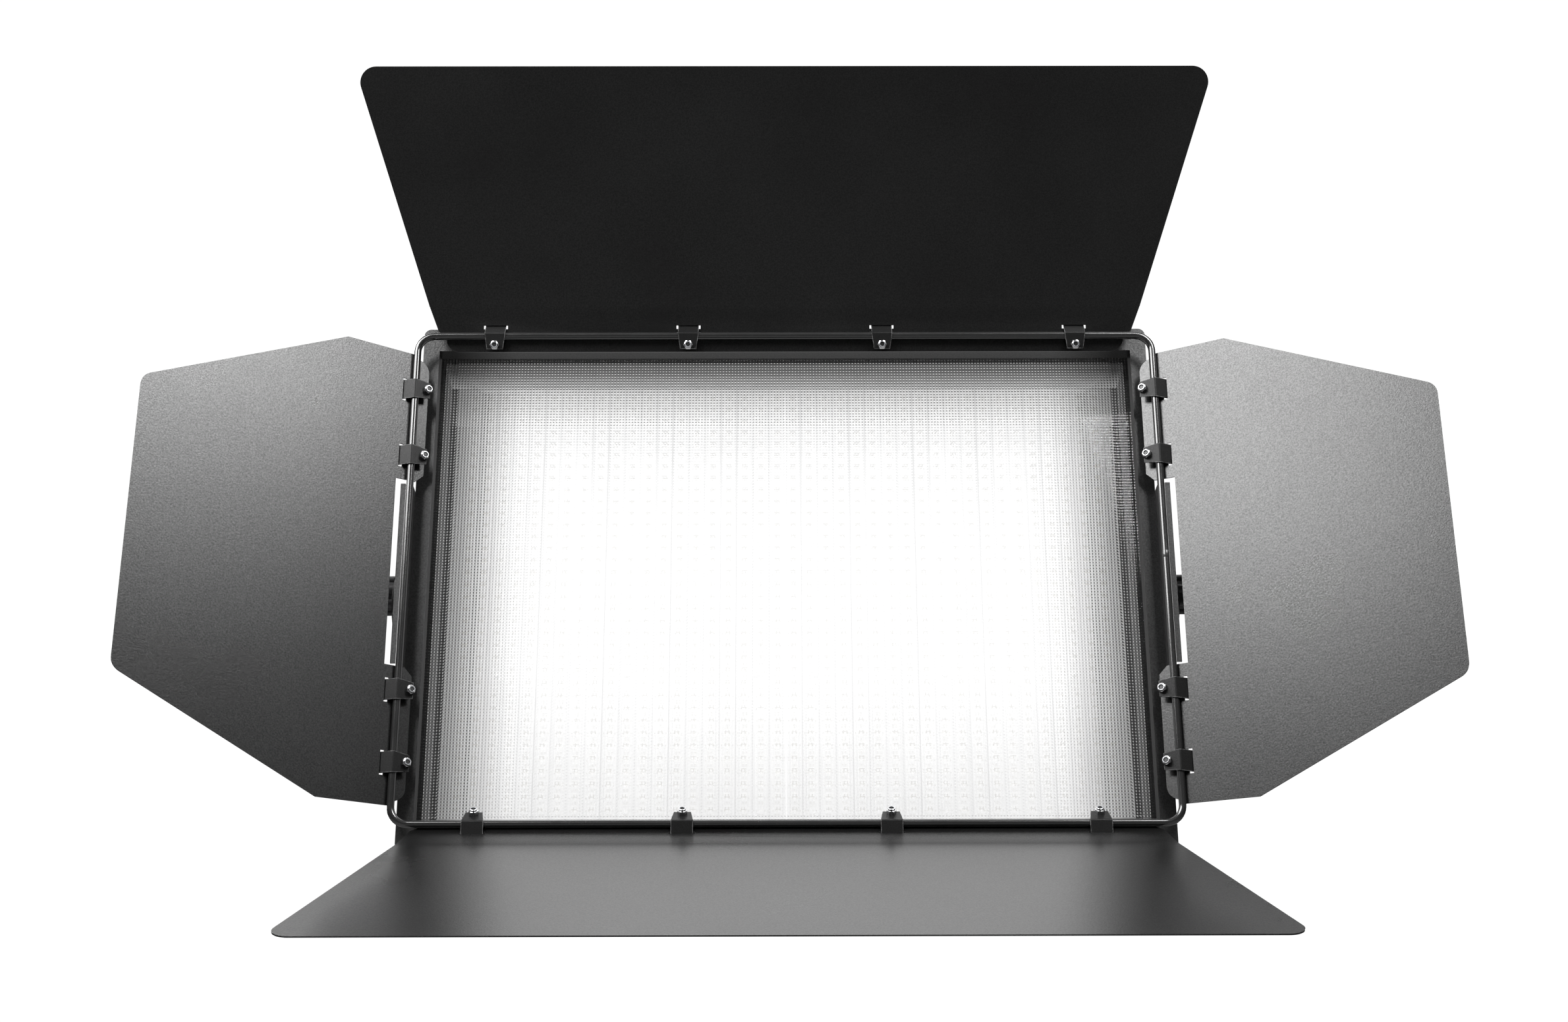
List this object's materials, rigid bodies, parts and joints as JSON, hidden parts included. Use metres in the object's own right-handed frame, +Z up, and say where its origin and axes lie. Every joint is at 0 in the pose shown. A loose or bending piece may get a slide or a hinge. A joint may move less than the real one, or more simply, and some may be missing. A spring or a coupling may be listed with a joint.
{
  "type": "led panel light",
  "caption": "Flat LED soft panel light with hinged barn door leaves on a wire hoop, rear controls, a U yoke with tilt knobs and a socket for a 16 mm stand spigot.",
  "frame": {"origin": "centre of the stand socket's mouth", "axes": "+X to the right seen from in front of the light, along its width; the light shines towards -Y; +Z up with the head upright"},
  "size_m": [1.0584, 0.551, 0.7855],
  "materials": {
    "wire_black": "gloss black enamel",
    "frame_black": "satin black powder coat",
    "yoke_black": "satin black powder coat",
    "leaf_black": "fine textured black powder coat",
    "clip_black": "satin black over spring steel",
    "zinc_steel": "zinc plated",
    "nut_bright": "bright plated",
    "black_screw": "black oxide",
    "lens_clear": "clear prismatic sheet",
    "gasket_rubber": "closed cell foam rubber",
    "box_grey": "matt grey",
    "board_white": "white solder mask",
    "bare_aluminium": "mill finish",
    "supply_case": "folded sheet case",
    "board_green": "green solder mask",
    "panel_black": "black anodised",
    "display_glass": "dark glossy window",
    "encoder_metal": "plated",
    "knob_black": "matt black",
    "button_grey": "soft grey",
    "switch_black": "gloss black",
    "rocker_red": "translucent red",
    "inlet_blue": "blue",
    "socket_metal": "nickel plated",
    "washer_fibre": "fibre washer",
    "tilt_plastic": "matt black, fine grain",
    "cast_black": "black painted casting"
  },
  "bodies": {
    "yoke": {"yoke": "yoke_black", "stand_socket": "cast_black", "socket_screws": "zinc_steel"},
    "socket_lock": {"socket_lock": "tilt_plastic"},
    "head": {"hoop": "wire_black", "bracket_left": "yoke_black", "bracket_right": "yoke_black", "bracket_screws": "zinc_steel", "bezel": "frame_black", "bezel_screws": "black_screw", "lens": "lens_clear", "lens_gasket": "gasket_rubber", "light_box": "box_grey", "led_board_left": "board_white", "led_board_right": "board_white", "board_screws": "zinc_steel", "heat_plate": "bare_aluminium", "heatsink_left": "bare_aluminium", "heatsink_right": "bare_aluminium", "rear_shell": "frame_black", "power_supply": "supply_case", "driver_board": "board_green", "control_board": "board_green", "control_panel": "panel_black", "panel_screws": "zinc_steel", "display": "display_glass", "encoders": "encoder_metal", "switch_frame": "switch_black", "power_inlet": "inlet_blue", "data_sockets": "socket_metal", "boss_left": "cast_black", "boss_right": "cast_black", "tilt_washers": "washer_fibre", "safety_eye": "zinc_steel"},
    "leaf_top": {"leaf_top": "leaf_black", "clips_top": "clip_black", "clip_bolts_top": "zinc_steel", "clip_nuts_top": "nut_bright"},
    "leaf_bottom": {"leaf_bottom": "leaf_black", "clips_bottom": "clip_black", "clip_bolts_bottom": "zinc_steel", "clip_nuts_bottom": "nut_bright"},
    "leaf_left": {"leaf_left": "leaf_black", "clips_left": "clip_black", "clip_bolts_left": "zinc_steel", "clip_nuts_left": "nut_bright"},
    "leaf_right": {"leaf_right": "leaf_black", "clips_right": "clip_black", "clip_bolts_right": "zinc_steel", "clip_nuts_right": "nut_bright"},
    "button_1": {"button_1": "button_grey"},
    "button_2": {"button_2": "button_grey"},
    "button_3": {"button_3": "button_grey"},
    "knob_colour": {"knob_colour": "knob_black"},
    "knob_level": {"knob_level": "knob_black"},
    "switch_rocker": {"switch_rocker": "rocker_red"},
    "tilt_knob_left": {"tilt_knob_left": "tilt_plastic"},
    "tilt_knob_right": {"tilt_knob_right": "tilt_plastic"}
  },
  "joints": [
    {"name": "head_tilt", "type": "hinge", "parent": "yoke", "child": "head", "pos_m": [0, -0.28015, 0.19616], "axis": [1, 0, 0], "range_deg": [-125, 55]},
    {"name": "leaf_top_swing", "type": "hinge", "parent": "head", "child": "leaf_top", "pos_m": [0, -0.34215, 0.41466], "axis": [-1, 0, 0], "range_deg": [-75, 30]},
    {"name": "leaf_bottom_swing", "type": "hinge", "parent": "head", "child": "leaf_bottom", "pos_m": [0, -0.34215, -0.02234], "axis": [1, 0, 0], "range_deg": [-43, 62]},
    {"name": "leaf_left_swing", "type": "hinge", "parent": "head", "child": "leaf_left", "pos_m": [-0.32, -0.34215, 0.19616], "axis": [0, 0, -1], "range_deg": [-58, 62]},
    {"name": "leaf_right_swing", "type": "hinge", "parent": "head", "child": "leaf_right", "pos_m": [0.32, -0.34215, 0.19616], "axis": [0, 0, 1], "range_deg": [-64, 56]},
    {"name": "tilt_knob_left_turn", "type": "hinge", "parent": "head", "child": "tilt_knob_left", "pos_m": [0, -0.28015, 0.19616], "axis": [-1, 0, 0], "continuous": true},
    {"name": "tilt_knob_right_turn", "type": "hinge", "parent": "head", "child": "tilt_knob_right", "pos_m": [0, -0.28015, 0.19616], "axis": [1, 0, 0], "continuous": true},
    {"name": "knob_level_turn", "type": "hinge", "parent": "head", "child": "knob_level", "pos_m": [0.026, -0.18115, 0.24416], "axis": [0, 1, 0], "continuous": true},
    {"name": "knob_colour_turn", "type": "hinge", "parent": "head", "child": "knob_colour", "pos_m": [-0.026, -0.18115, 0.24416], "axis": [0, 1, 0], "continuous": true},
    {"name": "button_1_press", "type": "slide", "parent": "head", "child": "button_1", "axis": [0, -1, 0], "range_m": [0, 0.001]},
    {"name": "button_2_press", "type": "slide", "parent": "head", "child": "button_2", "axis": [0, -1, 0], "range_m": [0, 0.001]},
    {"name": "button_3_press", "type": "slide", "parent": "head", "child": "button_3", "axis": [0, -1, 0], "range_m": [0, 0.001]},
    {"name": "switch_rock", "type": "hinge", "parent": "head", "child": "switch_rocker", "pos_m": [0, -0.19515, 0.13416], "axis": [1, 0, 0], "range_deg": [-16, 0]},
    {"name": "socket_lock_turn", "type": "hinge", "parent": "yoke", "child": "socket_lock", "pos_m": [0, -0.01638, 0.01147], "axis": [0, 0.5736, 0.8192], "continuous": true}
  ]
}
